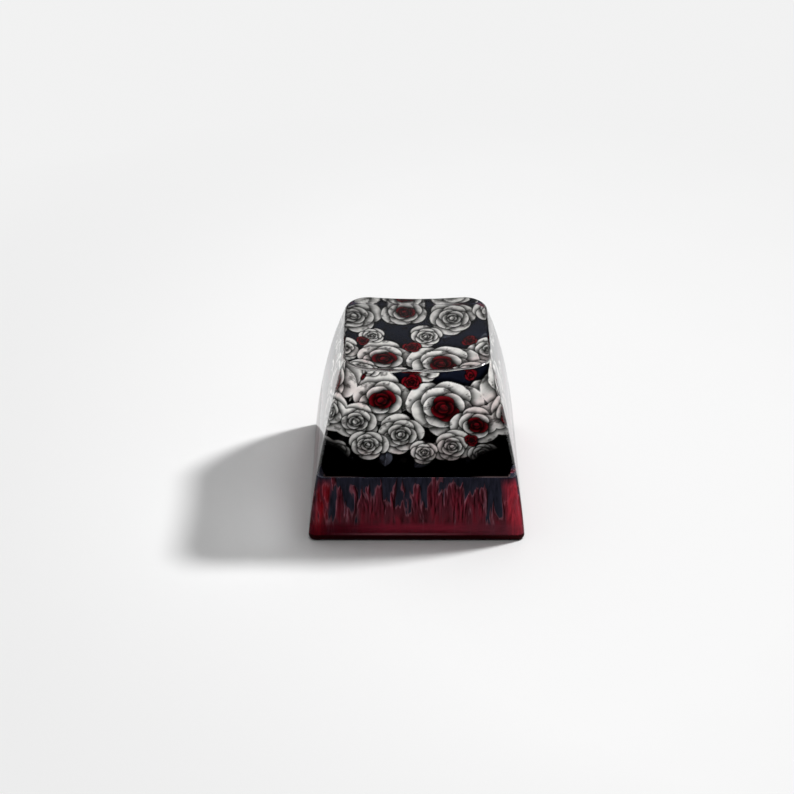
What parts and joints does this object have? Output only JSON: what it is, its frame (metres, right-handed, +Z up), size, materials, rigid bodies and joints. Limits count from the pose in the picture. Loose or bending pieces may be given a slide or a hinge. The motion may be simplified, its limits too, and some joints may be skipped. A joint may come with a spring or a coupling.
{
  "type": "keycap",
  "caption": "Tall keycap cast in resin: a clear body with bowed sides and a dished top holds a slanted printed film, on a red tinted base with a hollow underside and a cross-socket post.",
  "frame": {"origin": "middle of the skirt's lower rim, on the surface that the keycap stands on", "axes": "+Z up through the dished top, -Y out of the front face towards the typist, +X to the typist's right"},
  "size_m": [0.0178, 0.0178, 0.0148],
  "materials": {
    "clear_resin": "polished clear cast resin",
    "printed_film": "thin film with a bone-white, black and dark red print",
    "tinted_resin": "polished dark red cast resin with navy streaks"
  },
  "bodies": {
    "root": {"clear_cap": "clear_resin", "picture_film": "printed_film", "tinted_base": "tinted_resin"}
  },
  "joints": []
}
